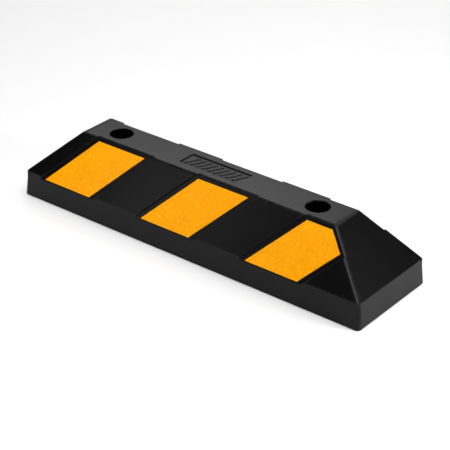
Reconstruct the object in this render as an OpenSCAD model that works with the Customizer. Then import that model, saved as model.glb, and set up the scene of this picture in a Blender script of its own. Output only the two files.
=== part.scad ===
// Rubber parking wheel stop: a moulded bar with hipped ends, slanted marker slots that run over
// both long faces, reflective panels bonded in the slots, and two anchor holes with steel seats.
// Origin: centre of the footprint, on the ground. X along the bar, -Y to the front, Z up.

/* [Bar] */
// Overall length
bar_l = 550; // [500:5:650]
// Overall width at the ground
bar_w = 146; // [140:1:170]
// Overall height
bar_h = 99; // [90:1:110]
// Length of the flat top
top_l = 408; // [380:2:430]
// Width of the flat top
top_w = 55; // [50:1:64]
// Height of the skirt under the sloping faces
skirt_h = 35.5; // [28:0.5:42]
// How far the skirt leans in on each side over its height
skirt_draft = 2.7; // [1:0.1:4]
// Radius of the upright corners
corner_r = 9; // [6:0.5:14]
// Radius of the long and short edges of the flat top
top_edge_r = 4; // [1:0.5:5]
// Radius of the edge between skirt and slopes
shoulder_r = 2.5; // [1:0.5:3]

/* [Marker slots] */
// Slots along each long face
slot_count = 3; // [3]
// Distance from one slot to the next
slot_pitch = 169.5; // [166:0.5:172]
// Width of a slot along the bar
slot_w = 96.5; // [88:0.5:98]
// Depth of a slot, square to the slope
slot_depth = 2.2; // [1.5:0.1:3]
// How far a slot leans towards +X from the bottom of the slope to its top
slot_lean = 65; // [60:1:68]
// Where the middle slot's centre line meets the bottom of the slope
middle_slot_x = -26; // [-28:0.5:-22]

/* [Reflective panels] */
// Width of a panel along the bar
panel_w = 79.5; // [72:0.5:82]
// Thickness of a panel
panel_t = 0.7; // [0.5:0.1:1.4]
// Distance up the slope from its bottom to the panel's lower edge
panel_low = -2.3; // [-2.5:0.1:4]
// Distance from the panel's upper edge to the top of the slope
panel_high = 5; // [4:0.5:10]
// Distance from the end panel to the ridge at the end of the bar
ridge_gap = 5; // [4:0.5:10]

/* [Anchor holes] */
// Distance between the two holes
hole_spacing = 320; // [300:5:330]
// Diameter of the pocket that takes the bolt head and its socket
head_d = 31; // [28:1:34]
// Diameter of the hole for the anchor bolt
bolt_d = 18; // [14:1:20]
// Height of the bolt head's seat above the ground
seat_z = 38; // [30:1:44]
// Outer diameter of the steel seat washer
washer_d = 44; // [38:1:46]
// Thickness of the steel seat washer
washer_t = 4; // [3:0.5:5]

/* [Name plate] */
// Length of the sunk plate on the flat top
plate_l = 97; // [80:1:104]
// Width of the sunk plate
plate_w = 28; // [20:1:30]
// Depth of the sunk plate
plate_depth = 1.6; // [1:0.1:2.5]
// Slanted bars that fill the plate
plate_bars = 9; // [5:1:10]
// Height of the bars above the plate
plate_bar_h = 0.9; // [0.5:0.1:1]

/* [Underside] */
// Depth of the weight-saving pockets
core_depth = 14; // [8:1:18]
// Length of a pocket along the bar
core_l = 44; // [36:1:50]
// Width of a pocket across the bar
core_w = 46; // [40:1:50]
// Distance between pockets along the bar
core_pitch = 54; // [54:1:60]
// Pockets in each row
core_count = 9; // [5:2:9]

/* [Hidden] */

$fn = 64;
cut = 20;               // how far cutting shapes reach past the surface
arc_steps = 5;          // straight steps in a rounded edge

half_l = bar_l / 2;
half_w = bar_w / 2;
shoulder_x = half_l - skirt_draft;
shoulder_y = half_w - skirt_draft;
slope_run = shoulder_y - top_w / 2;
slope_rise = bar_h - skirt_h;
slope_len = norm([slope_run, slope_rise]);
slope_angle = atan2(slope_rise, slope_run);
ridge_run = shoulder_x - top_l / 2;
first_slot_x = middle_slot_x - slot_pitch * (slot_count - 1) / 2;
panel_top = slope_len - panel_high;

RUBBER = [0.09, 0.09, 0.09];
YELLOW = [1.0, 0.67, 0.04];
STEEL = [0.62, 0.63, 0.65];

// Arc that rounds the corner at b between a and c, or b itself where it stays sharp
function rounded_corner(a, b, c, r) =
    r == 0 ? [b] :
    let (u = (a - b) / norm(a - b),
         v = (c - b) / norm(c - b),
         half = acos(u * v) / 2,
         bisector = (u + v) / norm(u + v),
         centre = b + bisector * r / sin(half),
         from = b + u * r / tan(half) - centre,
         to = b + v * r / tan(half) - centre,
         turn = 180 - 2 * half,
         way = sign(cross(from, to)))
    [for (i = [0 : arc_steps])
        let (t = way * turn * i / arc_steps)
        centre + [from.x * cos(t) - from.y * sin(t), from.x * sin(t) + from.y * cos(t)]];

// Outline with each corner rounded by its own radius
function rounded_outline(points, radii) =
    let (n = len(points))
    [for (i = [0 : n - 1])
        each rounded_corner(points[(i + n - 1) % n], points[i], points[(i + 1) % n], radii[i])];

// Upright outline of the bar, for either direction
function bar_outline(half_foot, half_shoulder, half_top) =
    rounded_outline([[-half_foot, 0], [-half_shoulder, skirt_h], [-half_top, bar_h],
                     [half_top, bar_h], [half_shoulder, skirt_h], [half_foot, 0]],
                    [0, shoulder_r, top_edge_r, top_edge_r, shoulder_r, 0]);

function rectangle_points(l, w) = [[-l, -w] / 2, [l, -w] / 2, [l, w] / 2, [-l, w] / 2];

// Slanted strip on the slope: x along the bar, y up the slope
function slanted_strip(centre_x, w, low, high) =
    let (lean = slot_lean / slope_len)
    [[centre_x - w / 2 + lean * low, low], [centre_x + w / 2 + lean * low, low],
     [centre_x + w / 2 + lean * high, high], [centre_x - w / 2 + lean * high, high]];

// Places children on the front slope: local y runs up the slope, local z points out of it
module on_front_slope() {
    translate([0, -shoulder_y, skirt_h])
        rotate([slope_angle, 0, 0])
            children();
}

module on_rear_slope() {
    mirror([0, 1, 0])
        on_front_slope()
            children();
}

module plain_bar() {
    intersection() {
        rotate([90, 0, 90])
            linear_extrude(bar_l + 2 * cut, center = true)
                polygon(bar_outline(half_w, shoulder_y, top_w / 2));
        rotate([90, 0, 0])
            linear_extrude(bar_w + 2 * cut, center = true)
                polygon(bar_outline(half_l, shoulder_x, top_l / 2));
        linear_extrude(bar_h + cut)
            polygon(rounded_outline(rectangle_points(bar_l, bar_w), [for (i = [0 : 3]) corner_r]));
    }
}

module slots() {
    for (i = [0 : slot_count - 1])
        translate([0, 0, -slot_depth])
            linear_extrude(slot_depth + cut)
                polygon(slanted_strip(first_slot_x + i * slot_pitch, slot_w,
                                      -cut, slope_len + cut));
}

module at_holes() {
    for (side = [-1, 1])
        translate([side * hole_spacing / 2, 0, 0])
            children();
}

module anchor_hole() {
    translate([0, 0, seat_z])
        cylinder(h = bar_h, d = head_d);
    translate([0, 0, seat_z - washer_t])
        cylinder(h = washer_t, d = washer_d);
    translate([0, 0, -cut])
        cylinder(h = seat_z + cut, d = bolt_d);
}

// Slanted bars inside the plate, at any height range
module plate_pattern() {
    pitch = plate_l / (plate_bars + 1);
    bar = pitch / 2;
    lean = plate_w / 3;
    reach = plate_w / 2 - 4;
    for (i = [0 : plate_bars - 1])
        translate([(i - (plate_bars - 1) / 2) * pitch, 0])
            polygon([[-bar / 2 - lean / 2, -reach], [bar / 2 - lean / 2, -reach],
                     [bar / 2 + lean / 2, reach], [-bar / 2 + lean / 2, reach]]);
}

module plate_recess() {
    difference() {
        translate([0, 0, bar_h - plate_depth])
            linear_extrude(plate_depth + cut)
                polygon(rounded_outline(rectangle_points(plate_l, plate_w), [2, 2, 2, 2]));
        translate([0, 0, bar_h - plate_depth - 1])
            linear_extrude(plate_bar_h + 1)
                plate_pattern();
    }
}

// Two rows of pockets; those beside an anchor hole are left solid
module underside_cores() {
    row_y = core_w / 2 + 4;
    for (i = [0 : core_count - 1]) {
        x = (i - (core_count - 1) / 2) * core_pitch;
        if (abs(abs(x) - hole_spacing / 2) > core_l / 2 + washer_d / 2 - 15)
            for (side = [-1, 1])
                translate([x, side * row_y, -cut])
                    linear_extrude(core_depth + cut)
                        polygon(rounded_outline(rectangle_points(core_l, core_w), [5, 5, 5, 5]));
    }
}

module rubber_body() {
    color(RUBBER)
        difference() {
            plain_bar();
            on_front_slope() slots();
            on_rear_slope() slots();
            at_holes() anchor_hole();
            plate_recess();
            underside_cores();
        }
}

// Everything on the slope that lies inside the ridge at the +X end, less the gap
module inside_ridge() {
    reach = norm([ridge_run, slope_len]);
    gap_x = ridge_gap * reach / slope_len;
    polygon([[-bar_l, -cut], [shoulder_x - gap_x + cut * ridge_run / slope_len, -cut],
             [shoulder_x - gap_x - ridge_run, slope_len], [-bar_l, slope_len]]);
}

module panel(index) {
    translate([0, 0, -slot_depth])
        linear_extrude(panel_t)
            intersection() {
                polygon(slanted_strip(first_slot_x + index * slot_pitch, panel_w,
                                      panel_low, panel_top));
                inside_ridge();
            }
}

module front_panel(index) {
    color(YELLOW)
        on_front_slope()
            panel(index);
}

module rear_panel(index) {
    color(YELLOW)
        on_rear_slope()
            panel(index);
}

module seat_washer(side) {
    color(STEEL)
        translate([side * hole_spacing / 2, 0, seat_z - washer_t])
            difference() {
                cylinder(h = washer_t, d = washer_d);
                translate([0, 0, -1])
                    cylinder(h = washer_t + 2, d = bolt_d);
            }
}

rubber_body();
front_panel(0);  // front_panel_left
front_panel(1);  // front_panel_middle
front_panel(2);  // front_panel_right
rear_panel(0);  // rear_panel_left
rear_panel(1);  // rear_panel_middle
rear_panel(2);  // rear_panel_right
seat_washer(-1);  // left_seat_washer
seat_washer(1);  // right_seat_washer
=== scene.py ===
"""Rubber parking wheel stop: moulded body, reflective panels, steel seats, floor, light and camera.

Lengths are in metres. The body is cut from one distance field: planes joined by soft edges, with
slots, bores, a sunk plate and underside pockets taken out of it.
"""
import math

import bmesh
import bpy
import numpy as np
from mathutils import Matrix, Vector


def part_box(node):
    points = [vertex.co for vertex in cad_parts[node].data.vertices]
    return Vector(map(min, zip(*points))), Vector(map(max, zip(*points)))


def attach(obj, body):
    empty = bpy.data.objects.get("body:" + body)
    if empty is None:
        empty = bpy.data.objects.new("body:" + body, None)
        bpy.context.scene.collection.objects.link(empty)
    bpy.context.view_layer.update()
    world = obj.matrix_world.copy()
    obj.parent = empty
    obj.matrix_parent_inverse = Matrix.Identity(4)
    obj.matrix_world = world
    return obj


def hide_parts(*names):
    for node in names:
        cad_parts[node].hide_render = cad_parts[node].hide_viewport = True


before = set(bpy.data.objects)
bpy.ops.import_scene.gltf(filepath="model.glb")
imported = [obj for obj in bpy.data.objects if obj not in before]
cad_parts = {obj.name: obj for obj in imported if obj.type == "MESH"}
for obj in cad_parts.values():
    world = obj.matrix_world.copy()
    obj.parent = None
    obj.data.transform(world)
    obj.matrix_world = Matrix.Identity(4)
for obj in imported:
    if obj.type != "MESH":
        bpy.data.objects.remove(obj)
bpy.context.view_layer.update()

body_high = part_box("rubber_body")[1]

MM = 0.001

# Bar
HALF_L = body_high.x
HALF_W = body_high.y
HEIGHT = body_high.z
TOP_L = 408 * MM
TOP_W = 55 * MM
SKIRT_H = 35.5 * MM
DRAFT = 2.7 * MM

# Marker slots
SLOT_COUNT = 3
SLOT_PITCH = 169.5 * MM
SLOT_W = 96.5 * MM
SLOT_DEPTH = 2.2 * MM
SLOT_LEAN = 65 * MM
SLOT_WALL = 1.2 * MM
MIDDLE_SLOT_X = -26 * MM

# Reflective panels
PANEL_W = 79.5 * MM
PANEL_T = 0.7 * MM
PANEL_LOW = -2.3 * MM
PANEL_HIGH = 5 * MM
RIDGE_GAP = 5 * MM
PANEL_CORNER_R = 0.6 * MM
PANEL_EDGE_R = 0.25 * MM

# Anchor holes and steel seats
HOLE_X = 160 * MM
HEAD_R = 15.5 * MM
BOLT_R = 9 * MM
WASHER_R = 22 * MM
WASHER_T = 4 * MM
WASHER_EDGE_R = 0.5 * MM
SEAT_Z = 38 * MM

# Sunk plate on the top
PLATE_L = 97 * MM
PLATE_W = 28 * MM
PLATE_DEPTH = 1.6 * MM
PLATE_CORNER_R = 2 * MM

# Slanted bars on the plate: their ends stop BAR_MARGIN short of its edge, and their feet are
# BAR_SUNK deep in its floor
BAR_COUNT = 9
BAR_H = 0.9 * MM
BAR_MARGIN = 4 * MM
BAR_SUNK = 0.3 * MM
BAR_CORNER_R = 0.7 * MM
BAR_EDGE_R = 0.35 * MM

# Underside pockets: two rows with a rib between them. A pocket centred less than HOLE_CLEAR from
# an anchor hole, along the bar, is left solid.
CORES_EACH_WAY = 4
CORE_DEPTH = 14 * MM
CORE_L = 44 * MM
CORE_W = 46 * MM
CORE_PITCH = 54 * MM
CORE_CORNER_R = 5 * MM
CORE_RIB = 8 * MM
HOLE_CLEAR = 29 * MM

# Soft edges: how far each one reaches over the faces beside it
SHOULDER_SOFT = 0.5 * MM
TOP_SOFT = 2.6 * MM
HIP_SOFT = 2.4 * MM
HIP_SOFT_LOW = 3.6 * MM
CORNER_SOFT = 6 * MM
FOOT_SOFT = 1.2 * MM
LIP_SOFT = 1.2 * MM
PLATE_SOFT = 0.7 * MM
PLATE_FLOOR_SOFT = 0.6 * MM
CORE_ROOF_SOFT = 3 * MM

# The skirt's soft corner turns into the hip's edge from CORNER_FADE_LOW below the shoulder,
# over a height of CORNER_FADE
CORNER_FADE_LOW = 12 * MM
CORNER_FADE = 16 * MM

# Mesh grid: its steps, and how far it reaches past the body
GRID_STEP = 1.7 * MM
FINE_STEP = 0.5 * MM
FINE_STEP_ACROSS = 0.7 * MM
GRID_MARGIN = 1.3 * MM

# How far to either side of each edge the grid is fine. The stretch for the shoulder is centred
# SHOULDER_FINE_DROP below it.
FINE_BY_SLOT = 2.2 * MM
FINE_BY_END = 4 * MM
FINE_BY_SIDE = 3 * MM
FINE_BY_PLATE = 1.5 * MM
FINE_BY_FOOT = 1.5 * MM
FINE_BY_SHOULDER = 4 * MM
FINE_BY_TOP = 4 * MM
FINE_BY_TOP_SIDE = 3 * MM
SHOULDER_FINE_DROP = 2 * MM

# The grid's lines lean with the slots: not at all up to a height of SLANT_FROM, in full from
# SLANT_OVER above that, and on past the slope's lower and upper edges by the last two
SLANT_FROM = 17 * MM
SLANT_OVER = 11 * MM
SLANT_BELOW = 5 * MM
SLANT_ABOVE = 2 * MM

# Scuffed edges: the distance over which the field's bend is measured, the bend that counts as a
# full edge, and the area over which a face counts as flat and stays clean
WEAR_REACH = 2 * MM
FULL_WEAR = 1.1 * MM
WIDE_FACE = 4 * MM * MM

# Straight steps in the arc of a rounded corner, a rounded edge and a washer's rim, and in a circle
CORNER_STEPS = 6
EDGE_STEPS = 4
RIM_STEPS = 3
CIRCLE_STEPS = 96

# Worked out from the above
SHOULDER_X = HALF_L - DRAFT
SHOULDER_Y = HALF_W - DRAFT
SLOPE_RUN = SHOULDER_Y - TOP_W / 2
SLOPE_RISE = HEIGHT - SKIRT_H
SLOPE_LEN = math.hypot(SLOPE_RUN, SLOPE_RISE)
SLOPE_ANGLE = math.atan2(SLOPE_RISE, SLOPE_RUN)
RIDGE_RUN = SHOULDER_X - TOP_L / 2
RIDGE_LEN = math.hypot(RIDGE_RUN, SLOPE_RISE)
LEAN = SLOT_LEAN / SLOPE_LEN
SLOT_CENTRES = [MIDDLE_SLOT_X + (i - (SLOT_COUNT - 1) / 2) * SLOT_PITCH for i in range(SLOT_COUNT)]
CORE_Y = CORE_W / 2 + CORE_RIB / 2

# Floor and backdrop. The floor lies just under the object, so that no two faces share a place.
FLOOR_HALF = 6.0
FLOOR_Z = -0.3 * MM
BACKDROP_R = 5.5
BACKDROP_H = 6.0
BACKDROP_Z = -10 * MM

# Camera: angles in degrees, lens and sensor in millimetres, and the point in the middle of its
# view, which is first taken over the origin and then moved across the view
CAMERA_AZIMUTH = 38.15
CAMERA_ELEVATION = 29.33
CAMERA_ROLL = 0.48
CAMERA_AWAY = 2.0383
CAMERA_LENS = 126.06
CAMERA_SENSOR = 36
CAMERA_REACH = 50
AIM_Z = 40 * MM
AIM_RIGHT = 12.3 * MM
AIM_DOWN = 20.9 * MM

# Soft boxes around the object: name, azimuth, elevation and brightness
BOX_AWAY = 2.2
BOX_W = 1.2
BOX_H = 1.0
BOXES = (
    ("back_box", 180, 42, 1.7),
    ("back_left_box", 225, 38, 2.9),
    ("left_box", 270, 45, 0.45),
    ("front_box", 0, 32, 0.55),
    ("front_high_box", 30, 60, 7.2),
    ("right_high_box", 120, 60, 2.6),
)

# Narrow cards in front of the long face: where along the bar each one points, and its brightness
FRONT_CARDS = ((-0.12, 1.9), (-0.04, 1.05), (0.04, 0.75), (0.12, 0.55))

# Colours, as linear red, green and blue; BLACK and WHITE have alpha too
RUBBER_DARK = (0.0004, 0.0004, 0.0005)
RUBBER_PALE = (0.0008, 0.0008, 0.0007)
RUBBER_FLECK = (0.008, 0.008, 0.007)
RUBBER_SCUFF = (0.014, 0.014, 0.014)
SHEET_DEEP = (0.92, 0.335, 0.0)
SHEET_BRIGHT = (0.95, 0.365, 0.0)
SHEET_BEAD = (0.80, 0.25, 0.0)
SHEET_PAINTED_GLINT = (0.97, 0.46, 0.01)
SHEET_DUST = (0.55, 0.22, 0.01)
STEEL_DARK = (0.22, 0.225, 0.24)
STEEL_PALE = (0.30, 0.305, 0.31)
STEEL_STAIN = (0.11, 0.09, 0.07)
FLOOR_DARK = (0.80, 0.80, 0.80)
FLOOR_PALE = (0.82, 0.82, 0.82)
BACKDROP_DARK = (0.80, 0.80, 0.80)
BACKDROP_PALE = (0.84, 0.84, 0.84)
BLACK = (0.0, 0.0, 0.0, 1.0)
WHITE = (1.0, 1.0, 1.0, 1.0)


# ---------------------------------------------------------------- objects in the scene

def add_object(name, data):
    """A new object in the scene, made of a mesh, a light or a camera."""
    added = bpy.data.objects.new(name, data)
    bpy.context.scene.collection.objects.link(added)
    return added


def add_shape(name, bm):
    """A new object in the scene with the shape that was built in bm."""
    mesh = bpy.data.meshes.new(name)
    bm.to_mesh(mesh)
    bm.free()
    return add_object(name, mesh)


# ---------------------------------------------------------------- body: the distance field

def soft_max(a, b, soft):
    """The larger of a and b, with the crease between them rounded over a width of soft."""
    overlap = np.maximum(soft - np.abs(a - b), 0.0)
    return np.maximum(a, b) + overlap * overlap / (4 * soft)


def smooth_step(t):
    """0 up to t = 0 and 1 from t = 1, with a smooth rise between."""
    t = np.clip(t, 0.0, 1.0)
    return t * t * (3 - 2 * t)


def slope_height(side, z):
    """Distance up the long slope from its lower edge."""
    return ((SHOULDER_Y - side) * SLOPE_RUN + (z - SKIRT_H) * SLOPE_RISE) / SLOPE_LEN


def slot_cut(along):
    """1 in a slot and 0 between the slots, along the bottom of the slope."""
    cut = 0.0
    for centre in SLOT_CENTRES:
        inside = SLOT_W / 2 - np.abs(along - centre)
        cut = cut + smooth_step(inside / SLOT_WALL + 0.5)
    return cut


def leaning_plane(out, z, run, rise, length):
    """Distance from a slope that starts at the shoulder; out is measured outward from there."""
    return (out * rise + (z - SKIRT_H) * run) / length


def skirt_plane(out, z):
    """Distance from the drafted skirt; out is measured outward from the shoulder."""
    return (out * SKIRT_H + (z - SKIRT_H) * DRAFT) / math.hypot(SKIRT_H, DRAFT)


def long_face(x, side, z):
    """Distance from a long face: the skirt and the slope above it, with the slots sunk in."""
    slope = leaning_plane(side - SHOULDER_Y, z, SLOPE_RUN, SLOPE_RISE, SLOPE_LEN)
    slope = slope + SLOT_DEPTH * slot_cut(x - LEAN * slope_height(side, z))
    return soft_max(skirt_plane(side - SHOULDER_Y, z), slope, SHOULDER_SOFT)


def end_face(end, z):
    """Distance from an end face: the skirt and the slope above it."""
    slope = leaning_plane(end - SHOULDER_X, z, RIDGE_RUN, SLOPE_RISE, RIDGE_LEN)
    return soft_max(skirt_plane(end - SHOULDER_X, z), slope, SHOULDER_SOFT)


def corner_soft(z):
    """Softness of the edge between long and end faces: widest on the skirt, least at the top."""
    up_hip = np.clip((z - SKIRT_H) / SLOPE_RISE, 0, 1)
    hip = HIP_SOFT_LOW + (HIP_SOFT - HIP_SOFT_LOW) * up_hip
    faded = smooth_step((z - SKIRT_H + CORNER_FADE_LOW) / CORNER_FADE)
    return CORNER_SOFT + (hip - CORNER_SOFT) * faded


def rounded_rectangle(x, y, half_x, half_y, radius):
    """Distance outside a flat rectangle with rounded corners, negative inside it."""
    dx = np.abs(x) - half_x + radius
    dy = np.abs(y) - half_y + radius
    outside = np.hypot(np.maximum(dx, 0.0), np.maximum(dy, 0.0))
    return outside + np.minimum(np.maximum(dx, dy), 0.0) - radius


def sunk_plate_field(x, y, z):
    """Negative inside the sunk plate."""
    plan = rounded_rectangle(x, y, PLATE_L / 2, PLATE_W / 2, PLATE_CORNER_R)
    return soft_max(plan, HEIGHT - PLATE_DEPTH - z, PLATE_FLOOR_SOFT)


def anchor_hole_field(x, y, z):
    """Negative inside the head pocket, the bolt hole and the washer's seat."""
    from_axis = np.hypot(np.abs(x) - HOLE_X, y)
    pocket = np.maximum(from_axis - HEAD_R, SEAT_Z - z)
    seat = np.maximum(from_axis - WASHER_R, np.abs(z - SEAT_Z + WASHER_T / 2) - WASHER_T / 2)
    return np.minimum(np.minimum(pocket, seat), from_axis - BOLT_R)


def underside_field(x, y, z):
    """Negative inside the pockets under the bar."""
    column = np.clip(np.round(x / CORE_PITCH), -CORES_EACH_WAY, CORES_EACH_WAY) * CORE_PITCH
    plan = rounded_rectangle(x - column, np.abs(y) - CORE_Y, CORE_L / 2, CORE_W / 2, CORE_CORNER_R)
    beside_hole = np.abs(np.abs(column) - HOLE_X) < HOLE_CLEAR
    plan = np.where(beside_hole, CORE_L, plan)
    return soft_max(plan, z - CORE_DEPTH, CORE_ROOF_SOFT)


def body_field(x, y, z):
    """Distance outside the rubber body, negative inside it."""
    field = soft_max(long_face(x, np.abs(y), z), end_face(np.abs(x), z), corner_soft(z))
    field = soft_max(field, z - HEIGHT, TOP_SOFT)
    field = soft_max(field, -z, FOOT_SOFT)
    field = soft_max(field, -sunk_plate_field(x, y, z), PLATE_SOFT)
    field = soft_max(field, -anchor_hole_field(x, y, z), LIP_SOFT)
    return soft_max(field, -underside_field(x, y, z), LIP_SOFT)


def field_gradient(p, reach):
    """Slope of the field at each point, measured over reach to either side."""
    columns = []
    for axis in range(3):
        ahead, behind = p.copy(), p.copy()
        ahead[:, axis] += reach
        behind[:, axis] -= reach
        columns.append((body_field(*ahead.T) - body_field(*behind.T)) / (2 * reach))
    return np.stack(columns, 1)


def onto_surface(p, rounds):
    """Moves points onto the body's surface, by no more than longest_step in each round."""
    reach = 0.02 * MM
    longest_step = 1.2 * MM
    least_size = 0.05
    for _ in range(rounds):
        slope = field_gradient(p, reach)
        size = np.maximum((slope * slope).sum(1), least_size)
        step = (body_field(*p.T) / size)[:, None] * slope
        length = np.linalg.norm(step, axis=1, keepdims=True)
        p = p - step * np.minimum(1.0, longest_step / np.maximum(length, 1e-12))
    return p


# ---------------------------------------------------------------- body: the mesh

CELL_CORNERS = [(i, j, k) for i in (0, 1) for j in (0, 1) for k in (0, 1)]


def graded_axis(low, high, step, fine_step, fine_spots):
    """Grid lines from low to high, closer together in each (place, reach) of fine_spots."""
    places = [low]
    while places[-1] < high:
        here = places[-1] + fine_step / 2
        fine = any(abs(here - place) < reach for place, reach in fine_spots)
        places.append(places[-1] + (fine_step if fine else step))
    return np.array(places)


def grid_shift(y, z):
    """How far the grid is pushed along the bar, so that its lines follow the slanted slots."""
    height = np.clip(slope_height(np.abs(y), z), -SLANT_BELOW, SLOPE_LEN + SLANT_ABOVE)
    return LEAN * height * smooth_step((z - SLANT_FROM) / SLANT_OVER)


def both_ways(place, reach):
    """Fine spots at place and at its mirror image."""
    return [(side * place, reach) for side in (-1, 1)]


def fine_spots_along():
    """Slot walls, ends of the sunk plate and shoulders of the bar, before the grid is pushed."""
    top_shift = float(grid_shift(np.array(0.0), np.array(HEIGHT)))
    slot_edges = [centre + side * SLOT_W / 2 for centre in SLOT_CENTRES for side in (-1, 1)]
    plate_ends = [side * PLATE_L / 2 - top_shift for side in (-1, 1)]
    spots = [(place, FINE_BY_SLOT) for place in slot_edges + plate_ends]
    return spots + both_ways(SHOULDER_X, FINE_BY_END)


def body_grid():
    """Grid coordinates x, y and z, each as a full 3-D array."""
    spots_y = both_ways(TOP_W / 2, FINE_BY_TOP_SIDE)
    spots_y += both_ways(PLATE_W / 2, FINE_BY_PLATE)
    spots_y += both_ways(HALF_W, FINE_BY_SIDE)
    spots_z = [(0.0, FINE_BY_FOOT), (HEIGHT, FINE_BY_TOP)]
    spots_z.append((SKIRT_H - SHOULDER_FINE_DROP, FINE_BY_SHOULDER))
    step = GRID_STEP
    first = -HALF_L - LEAN * (SLOPE_LEN + SLANT_ABOVE) - GRID_MARGIN
    last = HALF_L + LEAN * SLANT_BELOW + GRID_MARGIN
    outermost = HALF_W + GRID_MARGIN
    along = graded_axis(first, last, step, FINE_STEP, fine_spots_along())
    across = graded_axis(-outermost, outermost, step, FINE_STEP_ACROSS, spots_y)
    upward = graded_axis(-GRID_MARGIN, HEIGHT + GRID_MARGIN, step, FINE_STEP, spots_z)
    s, y, z = np.meshgrid(along, across, upward, indexing="ij")
    return s + grid_shift(y, z), y, z


def crossed_cells(inside):
    """True for each grid cell that has corners both inside and outside the surface."""
    cells = tuple(n - 1 for n in inside.shape)
    count = np.zeros(cells, np.int8)
    for corner in CELL_CORNERS:
        count += inside[tuple(slice(o, o + n) for o, n in zip(corner, cells))]
    return (count > 0) & (count < len(CELL_CORNERS))


def cell_points(x, y, z, field, where):
    """For each cell, the mean of the points where the surface cuts the cell's edges."""
    total = np.zeros((len(where), 3))
    hits = np.zeros(len(where))
    for a in CELL_CORNERS:
        for axis in range(3):
            if a[axis]:
                continue
            b = tuple(o + (n == axis) for n, o in enumerate(a))
            ia, ib = tuple((where + a).T), tuple((where + b).T)
            fa, fb = field[ia], field[ib]
            cut = (fa < 0) != (fb < 0)
            t = np.where(cut, fa / np.where(cut, fa - fb, 1.0), 0.0)
            point = np.stack([v[ia] + (v[ib] - v[ia]) * t for v in (x, y, z)], 1)
            total += point * cut[:, None]
            hits += cut
    return total / hits[:, None]


def cell_quads(inside, number):
    """A quad across each grid edge that the surface cuts, joining the four cells around it."""
    quads = []
    for axis in range(3):
        u, v = (axis + 1) % 3, (axis + 2) % 3
        low = [slice(1, n) for n in number.shape]
        low[axis] = slice(0, number.shape[axis])
        high = list(low)
        high[axis] = slice(1, number.shape[axis] + 1)
        from_in, to_in = inside[tuple(low)], inside[tuple(high)]
        for outward in (True, False):
            edge = (from_in & ~to_in) if outward else (~from_in & to_in)
            spot = np.argwhere(edge)
            spot[:, u] += 1
            spot[:, v] += 1
            loop = []
            for du, dv in ((-1, -1), (0, -1), (0, 0), (-1, 0)):
                cell = spot.copy()
                cell[:, u] += du
                cell[:, v] += dv
                loop.append(number[tuple(cell.T)])
            quads.append(np.stack(loop if outward else loop[::-1], 1))
    return np.concatenate(quads)


def surface_net(x, y, z, field):
    """Points and quads of the surface where field crosses zero: one point in each crossed cell."""
    inside = field < 0
    crossed = crossed_cells(inside)
    where = np.argwhere(crossed)
    number = np.full(crossed.shape, -1)
    number[crossed] = np.arange(len(where))
    return cell_points(x, y, z, field, where), cell_quads(inside, number)


def mesh_from_arrays(name, points, quads):
    mesh = bpy.data.meshes.new(name)
    mesh.vertices.add(len(points))
    mesh.vertices.foreach_set("co", points.astype(np.float32).ravel())
    mesh.loops.add(quads.size)
    mesh.loops.foreach_set("vertex_index", quads.astype(np.int32).ravel())
    mesh.polygons.add(len(quads))
    mesh.polygons.foreach_set("loop_start", np.arange(0, quads.size, 4, dtype=np.int32))
    mesh.update(calc_edges=True)
    mesh.validate()
    return mesh


def vertex_points(mesh):
    points = np.empty(len(mesh.vertices) * 3, np.float32)
    mesh.vertices.foreach_get("co", points)
    return points.reshape(-1, 3).astype(float)


def unit(vectors):
    return vectors / np.maximum(np.linalg.norm(vectors, axis=1, keepdims=True), 1e-12)


def surface_normals(points):
    reach = 0.1 * MM
    return unit(field_gradient(points, reach))


def merge_flat_faces(mesh, normals, quads):
    """Joins the faces that lie wholly in a flat area, so that small faces stay only on curves.

    An area is flat where 1 less the cosine of the turn between normals stays under flat_turn.
    """
    flat_turn = 1e-7
    merge_angle = math.radians(0.2)
    spread = np.zeros(len(quads))
    for a in range(4):
        turned = 1 - (normals[quads[:, a]] * normals[quads[:, a - 1]]).sum(1)
        spread = np.maximum(spread, turned)
    curved = quads[spread > flat_turn]
    flat = np.ones(len(normals), bool)
    flat[curved.ravel()] = False
    bm = bmesh.new()
    bm.from_mesh(mesh)
    verts = [v for v in bm.verts if flat[v.index]]
    edges = [e for e in bm.edges if flat[e.verts[0].index] or flat[e.verts[1].index]]
    bmesh.ops.dissolve_limit(bm, angle_limit=merge_angle, verts=verts, edges=edges)
    merged = [f for f in bm.faces if len(f.verts) > 4]
    bmesh.ops.triangulate(bm, faces=merged, ngon_method="BEAUTY")
    bm.to_mesh(mesh)
    bm.free()


def on_wide_faces(mesh):
    """True for each point that lies on a face larger than WIDE_FACE."""
    sizes = np.empty(len(mesh.polygons), np.float32)
    mesh.polygons.foreach_get("area", sizes)
    corners = np.empty(len(mesh.polygons), np.int32)
    mesh.polygons.foreach_get("loop_total", corners)
    indices = np.empty(len(mesh.loops), np.int32)
    mesh.loops.foreach_get("vertex_index", indices)
    wide = np.zeros(len(mesh.vertices), bool)
    wide[indices[np.repeat(sizes > WIDE_FACE, corners)]] = True
    return wide


def edge_wear(points):
    """0 on flats and in hollows, up to 1 on outward edges, from how the field bends.

    The bend is the sum of the field at six points around, less six times the field here.
    """
    bend = -6 * body_field(*points.T)
    for axis in range(3):
        for way in (-1, 1):
            near = points.copy()
            near[:, axis] += way * WEAR_REACH
            bend += body_field(*near.T)
    return np.clip(bend / FULL_WEAR, 0.0, 1.0)


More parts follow.
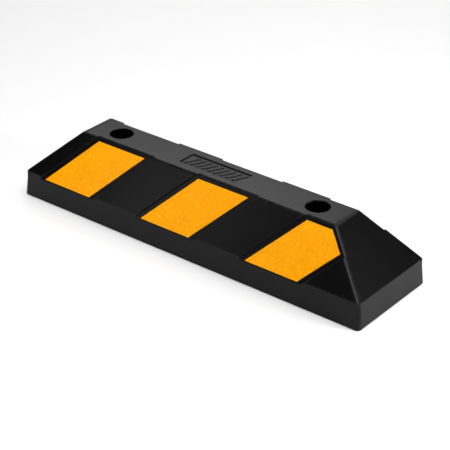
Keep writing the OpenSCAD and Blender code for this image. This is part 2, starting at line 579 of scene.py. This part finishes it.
def make_body():
    """The rubber body, with exact normals and a point attribute that says how scuffed it is."""
    x, y, z = body_grid()
    points, quads = surface_net(x, y, z, body_field(x, y, z))
    points = onto_surface(points, rounds=5)
    mesh = mesh_from_arrays("rubber_moulding", points, quads)
    merge_flat_faces(mesh, surface_normals(points), quads)
    mesh.polygons.foreach_set("use_smooth", np.ones(len(mesh.polygons), bool))
    points = vertex_points(mesh)
    worn = np.where(on_wide_faces(mesh), 0.0, edge_wear(points))
    wear = mesh.attributes.new("edge_wear", "FLOAT", "POINT")
    wear.data.foreach_set("value", worn.astype(np.float32))
    mesh.normals_split_custom_set_from_vertices(surface_normals(points).tolist())
    return add_object("rubber_moulding", mesh)


# ---------------------------------------------------------------- small parts

def rounded_polygon(corners, radius):
    """Points of a flat outline with each corner rounded by an arc."""
    points = []
    for i, b in enumerate(corners):
        to_a = (corners[i - 1] - b).normalized()
        to_c = (corners[(i + 1) % len(corners)] - b).normalized()
        half = to_a.angle(to_c) / 2
        centre = b + (to_a + to_c).normalized() * radius / math.sin(half)
        start = b + to_a * radius / math.tan(half) - centre
        end = b + to_c * radius / math.tan(half) - centre
        for n in range(CORNER_STEPS + 1):
            spoke = start.lerp(end, n / CORNER_STEPS).normalized() * radius
            points.append(centre + spoke)
    return points


def edge_levels(thickness, edge_r):
    """Height and inset of each ring of a plate's wall: straight, then rounded at the top."""
    levels = [(0.0, 0.0), (thickness - edge_r, 0.0)]
    for n in range(1, EDGE_STEPS + 1):
        turn = math.pi / 2 * n / EDGE_STEPS
        levels.append((thickness - edge_r + edge_r * math.sin(turn), edge_r * (1 - math.cos(turn))))
    return levels


def inward_normals(outline):
    """Direction into a flat outline at each of its points."""
    inward = []
    for i in range(len(outline)):
        along = (outline[(i + 1) % len(outline)] - outline[i - 1]).normalized()
        inward.append(Vector((-along.y, along.x)))
    return inward


def plate_solid(name, corners, corner_r, thickness, edge_r, place):
    """A flat plate with rounded corners and a rounded upper edge, moved by place."""
    outline = rounded_polygon(corners, corner_r)
    inward = inward_normals(outline)
    bm = bmesh.new()
    rings = []
    for height, inset in edge_levels(thickness, edge_r):
        ring = [p + n * inset for p, n in zip(outline, inward)]
        rings.append([bm.verts.new((p.x, p.y, height)) for p in ring])
    for lower, upper in zip(rings, rings[1:]):
        for i in range(len(lower)):
            j = (i + 1) % len(lower)
            bm.faces.new((lower[i], lower[j], upper[j], upper[i])).smooth = True
    bm.faces.new(rings[-1])
    bm.faces.new(rings[0][::-1])
    bmesh.ops.triangulate(bm, faces=[f for f in bm.faces if len(f.verts) > 4])
    bm.transform(place)
    piece = add_shape(name, bm)
    sharp_angle = math.radians(40)
    piece.data.set_sharp_from_angle(angle=sharp_angle)
    return piece


def slope_place(side):
    """Local x along the bar, y up the slope and z out of it; side is -1 in front, 1 behind."""
    front = Matrix.Translation((0, -SHOULDER_Y, SKIRT_H)) @ Matrix.Rotation(SLOPE_ANGLE, 4, "X")
    if side < 0:
        return front
    return Matrix.Diagonal((1, -1, 1, 1)) @ front


def panel_corners(centre_x):
    """A slanted strip on the slope, cut off beside the ridge at the +X end."""
    low, high = PANEL_LOW, SLOPE_LEN - PANEL_HIGH
    strip = [Vector((centre_x + s * PANEL_W / 2 + LEAN * up, up))
             for s, up in ((-1, low), (1, low), (1, high), (-1, high))]
    gap = RIDGE_GAP * math.hypot(RIDGE_RUN, SLOPE_LEN) / SLOPE_LEN
    ridge_slant = RIDGE_RUN / SLOPE_LEN

    def past_ridge(p):
        return p.x - (SHOULDER_X - gap - ridge_slant * p.y)

    corners = []
    for a, b in zip(strip, strip[1:] + strip[:1]):
        if past_ridge(a) <= 0:
            corners.append(a)
        if (past_ridge(a) > 0) != (past_ridge(b) > 0):
            corners.append(a.lerp(b, past_ridge(a) / (past_ridge(a) - past_ridge(b))))
    return corners


def make_panel(name, centre_x, side):
    """A reflective sheet on the floor of a slot. The mirrored ones are turned right side out."""
    place = slope_place(side) @ Matrix.Translation((0, 0, -SLOT_DEPTH))
    corners = panel_corners(centre_x)
    panel = plate_solid(name, corners, PANEL_CORNER_R, PANEL_T, PANEL_EDGE_R, place)
    if side > 0:
        panel.data.flip_normals()
    return panel


def make_plate_bars():
    """The slanted bars on the floor of the sunk plate."""
    pitch = PLATE_L / (BAR_COUNT + 1)
    lean = Vector((PLATE_W / 3, 0))
    reach = Vector((0, PLATE_W / 2 - BAR_MARGIN))
    half = Vector((pitch / 4, 0))
    corners = [-half - lean / 2 - reach, half - lean / 2 - reach,
               half + lean / 2 + reach, -half + lean / 2 + reach]
    bars = []
    for i in range(BAR_COUNT):
        x = (i - (BAR_COUNT - 1) / 2) * pitch
        place = Matrix.Translation((x, 0, HEIGHT - PLATE_DEPTH - BAR_SUNK))
        bars.append(plate_solid(f"plate_bar_{i + 1}", corners, BAR_CORNER_R,
                                BAR_H + BAR_SUNK, BAR_EDGE_R, place))
    return bars


def washer_profile():
    """Radius and height of each point around the washer's section, with rounded rims."""
    points = []
    for radius, level, turn_from in ((WASHER_R, WASHER_T, 0), (BOLT_R, WASHER_T, 90),
                                     (BOLT_R, 0, 180), (WASHER_R, 0, 270)):
        out = 1 if radius == WASHER_R else -1
        up = 1 if level else -1
        for n in range(RIM_STEPS + 1):
            turn = math.radians(turn_from + 90 * n / RIM_STEPS)
            points.append((radius - out * WASHER_EDGE_R + WASHER_EDGE_R * math.cos(turn),
                           level - up * WASHER_EDGE_R + WASHER_EDGE_R * math.sin(turn)))
    return points


def make_washer(name, side):
    """A steel washer, turned from its profile."""
    profile = washer_profile()
    bm = bmesh.new()
    rings = []
    for n in range(CIRCLE_STEPS):
        a = 2 * math.pi * n / CIRCLE_STEPS
        rings.append([bm.verts.new((r * math.cos(a), r * math.sin(a), z)) for r, z in profile])
    for n in range(CIRCLE_STEPS):
        ring, following = rings[n], rings[(n + 1) % CIRCLE_STEPS]
        for i in range(len(profile)):
            j = (i + 1) % len(profile)
            bm.faces.new((ring[i], following[i], following[j], ring[j])).smooth = True
    bm.transform(Matrix.Translation((side * HOLE_X, 0, SEAT_Z - WASHER_T)))
    return add_shape(name, bm)


# ---------------------------------------------------------------- materials

class Nodes:
    """Short calls that add and link shader nodes."""

    def __init__(self, name):
        self.material = bpy.data.materials.new(name)
        self.material.use_nodes = True
        self.tree = self.material.node_tree
        self.shader = self.tree.nodes["Principled BSDF"]
        self.place = self.tree.nodes.new("ShaderNodeTexCoord").outputs["Object"]

    def link(self, source, target):
        self.tree.links.new(source, target)

    def stretched(self, factors):
        """The place on the object, with each direction scaled by its factor."""
        node = self.tree.nodes.new("ShaderNodeMapping")
        node.inputs["Scale"].default_value = factors
        self.link(self.place, node.inputs["Vector"])
        return node.outputs["Vector"]

    def noise(self, scale, detail, roughness=0.55, source=None):
        node = self.tree.nodes.new("ShaderNodeTexNoise")
        node.inputs["Scale"].default_value = scale
        node.inputs["Detail"].default_value = detail
        node.inputs["Roughness"].default_value = roughness
        self.link(source or self.place, node.inputs["Vector"])
        return node.outputs["Fac"]

    def cells(self, scale, output="Distance"):
        """Voronoi cells: the distance from each one's middle, or its own Color."""
        node = self.tree.nodes.new("ShaderNodeTexVoronoi")
        node.inputs["Scale"].default_value = scale
        self.link(self.place, node.inputs["Vector"])
        return node.outputs[output]

    def channel(self, colour, name):
        """The Red, Green or Blue of a colour."""
        node = self.tree.nodes.new("ShaderNodeSeparateColor")
        self.link(colour, node.inputs["Color"])
        return node.outputs[name]

    def spread(self, source, low, high, to_low=0.0, to_high=1.0):
        """Source taken smoothly from the range low to high to the range to_low to to_high."""
        node = self.tree.nodes.new("ShaderNodeMapRange")
        node.interpolation_type = "SMOOTHSTEP"
        self.link(source, node.inputs["Value"])
        values = (low, high, to_low, to_high)
        for socket, value in zip(("From Min", "From Max", "To Min", "To Max"), values):
            node.inputs[socket].default_value = value
        return node.outputs["Result"]

    def combine(self, kind, a, b):
        """Two values put together, as MULTIPLY or ADD; each is a socket or a number."""
        node = self.tree.nodes.new("ShaderNodeMath")
        node.operation = kind
        for socket, value in zip(node.inputs, (a, b)):
            if isinstance(value, (int, float)):
                socket.default_value = value
            else:
                self.link(value, socket)
        return node.outputs[0]

    def mix(self, factor, a, b):
        """Colour a where factor is 0 and colour b where it is 1; each is a socket or a colour."""
        node = self.tree.nodes.new("ShaderNodeMix")
        node.data_type = "RGBA"
        self.link(factor, node.inputs["Factor"])
        for socket, value in ((node.inputs[6], a), (node.inputs[7], b)):
            if isinstance(value, tuple):
                socket.default_value = (*value, 1.0)
            else:
                self.link(value, socket)
        return node.outputs[2]

    def bump(self, height, distance, below=None):
        """A normal bent by height, on top of the normal below."""
        node = self.tree.nodes.new("ShaderNodeBump")
        node.inputs["Distance"].default_value = distance
        node.inputs["Strength"].default_value = 1.0
        self.link(height, node.inputs["Height"])
        if below is not None:
            self.link(below, node.inputs["Normal"])
        return node.outputs["Normal"]

    def far_out(self, near, far, most):
        """0 within near of the middle, rising to most at far."""
        node = self.tree.nodes.new("ShaderNodeVectorMath")
        node.operation = "LENGTH"
        self.link(self.place, node.inputs[0])
        return self.spread(node.outputs["Value"], near, far, 0.0, most)

    def attribute(self, name):
        node = self.tree.nodes.new("ShaderNodeAttribute")
        node.attribute_name = name
        return node.outputs["Fac"]


def rubber_material():
    """Black rubber with a fine grain, a few pale flecks and scuffed edges."""
    n = Nodes("moulded_rubber")
    patches = n.noise(26, 4)
    grain = n.noise(1500, 2)
    streaks = n.noise(9, 5, 0.6, n.stretched((0.35, 3.0, 1.0)))
    flecks = n.spread(n.cells(620), 0.16, 0.06)
    scuffed = n.combine("MULTIPLY", n.attribute("edge_wear"), n.spread(n.noise(140, 4), 0.35, 0.7))

    base = n.mix(n.spread(patches, 0.35, 0.7), RUBBER_DARK, RUBBER_PALE)
    base = n.mix(n.combine("MULTIPLY", flecks, 0.30), base, RUBBER_FLECK)
    base = n.mix(n.combine("MULTIPLY", scuffed, 0.7), base, RUBBER_SCUFF)
    n.link(base, n.shader.inputs["Base Color"])

    rough = n.spread(streaks, 0.35, 0.65, 0.30, 0.32)
    rough = n.combine("ADD", rough, n.spread(grain, 0.3, 0.7, -0.03, 0.03))
    rough = n.combine("ADD", rough, n.combine("MULTIPLY", scuffed, 0.08))
    n.link(rough, n.shader.inputs["Roughness"])
    n.shader.inputs["Specular IOR Level"].default_value = 0.17

    waves = n.bump(n.noise(55, 2), 0.00002)
    n.link(n.bump(grain, 0.000045, waves), n.shader.inputs["Normal"])
    return n.material


def panel_material():
    """Amber reflective sheet: fine beads that differ in tint, painted highlights as glints, and a
    little dust.
    """
    n = Nodes("reflective_sheet")
    bead_scale = 1250
    beads = n.cells(bead_scale)
    bead_tint = n.channel(n.cells(bead_scale, "Color"), "Red")
    blotches = n.noise(48, 4)
    dust = n.spread(n.noise(420, 3), 0.50, 0.70)
    # Painted highlight: brighter spots mixed into the base colour stand in for glints off the beads
    painted_glints = n.spread(n.noise(310, 3), 0.45, 0.65)

    base = n.mix(n.spread(blotches, 0.3, 0.7), SHEET_DEEP, SHEET_BRIGHT)
    base = n.mix(n.combine("MULTIPLY", bead_tint, 0.45), base, SHEET_BEAD)
    # Painted highlight: the glint colour laid over the sheet's own colour
    base = n.mix(n.combine("MULTIPLY", painted_glints, 0.5), base, SHEET_PAINTED_GLINT)
    base = n.mix(n.combine("MULTIPLY", dust, 0.22), base, SHEET_DUST)
    n.link(base, n.shader.inputs["Base Color"])

    n.link(n.spread(blotches, 0.3, 0.7, 0.34, 0.44), n.shader.inputs["Roughness"])
    n.shader.inputs["Specular IOR Level"].default_value = 0.08

    lifted = n.bump(n.noise(30, 2), 0.0003)
    n.link(n.bump(beads, 0.00008, lifted), n.shader.inputs["Normal"])
    return n.material


def steel_material():
    """Zinc-coated steel with faint spangle and brownish stains."""
    n = Nodes("zinc_steel")
    spangle = n.channel(n.cells(380, "Color"), "Green")
    stains = n.spread(n.noise(160, 5), 0.48, 0.72)

    base = n.mix(spangle, STEEL_DARK, STEEL_PALE)
    base = n.mix(n.combine("MULTIPLY", stains, 0.6), base, STEEL_STAIN)
    n.link(base, n.shader.inputs["Base Color"])
    n.shader.inputs["Metallic"].default_value = 1.0
    n.link(n.spread(stains, 0.0, 1.0, 0.42, 0.65), n.shader.inputs["Roughness"])
    n.link(n.bump(n.noise(900, 3), 0.00004), n.shader.inputs["Normal"])
    return n.material


def floor_material():
    """A pale matt floor that glows far out, where the lights hardly reach."""
    n = Nodes("pale_floor")
    n.link(n.mix(n.noise(3, 3), FLOOR_DARK, FLOOR_PALE), n.shader.inputs["Base Color"])
    n.shader.inputs["Emission Color"].default_value = WHITE
    n.link(n.far_out(0.8, 2.4, 0.6), n.shader.inputs["Emission Strength"])
    n.shader.inputs["Roughness"].default_value = 0.9
    n.shader.inputs["Specular IOR Level"].default_value = 0.1
    return n.material


def backdrop_material():
    """A pale wall that gives its own light."""
    n = Nodes("pale_backdrop")
    n.link(n.mix(n.noise(0.4, 2), BACKDROP_DARK, BACKDROP_PALE), n.shader.inputs["Emission Color"])
    n.shader.inputs["Emission Strength"].default_value = 1.0
    n.shader.inputs["Base Color"].default_value = BLACK
    return n.material


# ---------------------------------------------------------------- floor, light and camera

def make_floor():
    bm = bmesh.new()
    bmesh.ops.create_grid(bm, x_segments=8, y_segments=8, size=FLOOR_HALF)
    floor = add_shape("floor", bm)
    floor.location.z = FLOOR_Z
    floor.data.materials.append(floor_material())


def make_backdrop():
    """A pale round wall that only the camera sees, so that it adds no light to the object."""
    bm = bmesh.new()
    columns = []
    for n in range(CIRCLE_STEPS):
        a = 2 * math.pi * n / CIRCLE_STEPS
        foot = Vector((BACKDROP_R * math.cos(a), BACKDROP_R * math.sin(a), BACKDROP_Z))
        columns.append((bm.verts.new(foot), bm.verts.new(foot + Vector((0, 0, BACKDROP_H)))))
    for n in range(CIRCLE_STEPS):
        low, high = columns[n]
        next_low, next_high = columns[(n + 1) % CIRCLE_STEPS]
        bm.faces.new((low, high, next_high, next_low)).smooth = True
    wall = add_shape("backdrop", bm)
    wall.data.materials.append(backdrop_material())
    wall.visible_diffuse = False
    wall.visible_glossy = False
    wall.visible_shadow = False


def from_angles(azimuth, elevation):
    """Unit vector; azimuth 0 is the front and 90 is the +X end."""
    a, e = math.radians(azimuth), math.radians(elevation)
    return Vector((math.sin(a) * math.cos(e), -math.cos(a) * math.cos(e), math.sin(e)))


def soft_light(name, direction, away, width, height, brightness, aim=(0, 0, 0.05)):
    """A rectangular soft light; brightness is what its face shows, not its power."""
    data = bpy.data.lights.new(name, "AREA")
    data.shape = "RECTANGLE"
    data.size, data.size_y = width, height
    data.energy = brightness * math.pi * width * height
    out = Vector(direction).normalized()
    light = add_object(name, data)
    light.location = Vector(aim) + out * away
    light.rotation_mode = "QUATERNION"
    light.rotation_quaternion = out.to_track_quat("Z", "Y")
    light.visible_camera = False


def make_lights():
    soft_light("overhead", (0, 0, 1), BOX_AWAY, width=1.4, height=1.2, brightness=3.7)
    for name, azimuth, elevation, brightness in BOXES:
        soft_light(name, from_angles(azimuth, elevation), BOX_AWAY, BOX_W, BOX_H, brightness)
    soft_light("floor_spot", (0.85, 0.35, 0.40), away=0.8, width=0.35, height=0.35,
               brightness=17.0, aim=(0.34, 0, 0))
    soft_light("end_card", (0.45, 0.68, 0.58), away=0.5, width=0.20, height=0.16,
               brightness=0.5, aim=(0.265, -0.06, 0.045))
    for i, (x, brightness) in enumerate(FRONT_CARDS):
        soft_light(f"front_card_{i + 1}", (-0.54, -0.72, 0.43), away=0.45, width=0.07,
                   height=0.35, brightness=brightness, aim=(x, -0.05, 0.065))


def make_world():
    """A very faint even light from all around."""
    world = bpy.data.worlds.new("studio")
    bpy.context.scene.world = world
    world.use_nodes = True
    background = world.node_tree.nodes["Background"]
    background.inputs["Color"].default_value = WHITE
    background.inputs["Strength"].default_value = 0.03


def make_camera():
    """The photograph's viewing angle: from the front right, nearly 30 degrees above the floor."""
    azimuth, roll = math.radians(CAMERA_AZIMUTH), math.radians(CAMERA_ROLL)
    back = from_angles(CAMERA_AZIMUTH, CAMERA_ELEVATION)
    right = Vector((math.cos(azimuth), math.sin(azimuth), 0))
    up = back.cross(right)
    turned_right = right * math.cos(roll) + up * math.sin(roll)
    turned_up = up * math.cos(roll) - right * math.sin(roll)
    aim = Vector((0, 0, AIM_Z)) + turned_right * AIM_RIGHT - turned_up * AIM_DOWN
    turn = Matrix((turned_right, turned_up, back)).transposed().to_4x4()
    data = bpy.data.cameras.new("camera")
    data.sensor_width = CAMERA_SENSOR
    data.lens = CAMERA_LENS
    data.clip_end = CAMERA_REACH
    camera = add_object("camera", data)
    camera.matrix_world = Matrix.Translation(aim + back * CAMERA_AWAY) @ turn
    bpy.context.scene.camera = camera


# ---------------------------------------------------------------- putting it together

def finish_piece(piece, material, slot, *nodes):
    """Gives a piece its material, hangs it on the root body and hides the CAD nodes that it stands
    for.
    """
    piece.data.materials.append(material)
    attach(piece, "root")
    if nodes:
        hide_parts(*nodes)


make_camera()
make_floor()
make_backdrop()
make_lights()
make_world()

rubber = rubber_material()
sheet = panel_material()
steel = steel_material()

finish_piece(make_body(), rubber, "rubber", "rubber_body")
for bar in make_plate_bars():
    finish_piece(bar, rubber, "rubber")
for side, face in ((-1, "front"), (1, "rear")):
    for centre_x, place in zip(SLOT_CENTRES, ("left", "middle", "right")):
        panel = make_panel(f"{face}_sheet_{place}", centre_x, side)
        finish_piece(panel, sheet, "reflective_panel", f"{face}_panel_{place}")
for side, place in ((-1, "left"), (1, "right")):
    finish_piece(make_washer(f"{place}_washer", side), steel, "steel", f"{place}_seat_washer")

bpy.context.scene.view_settings.view_transform = "Standard"
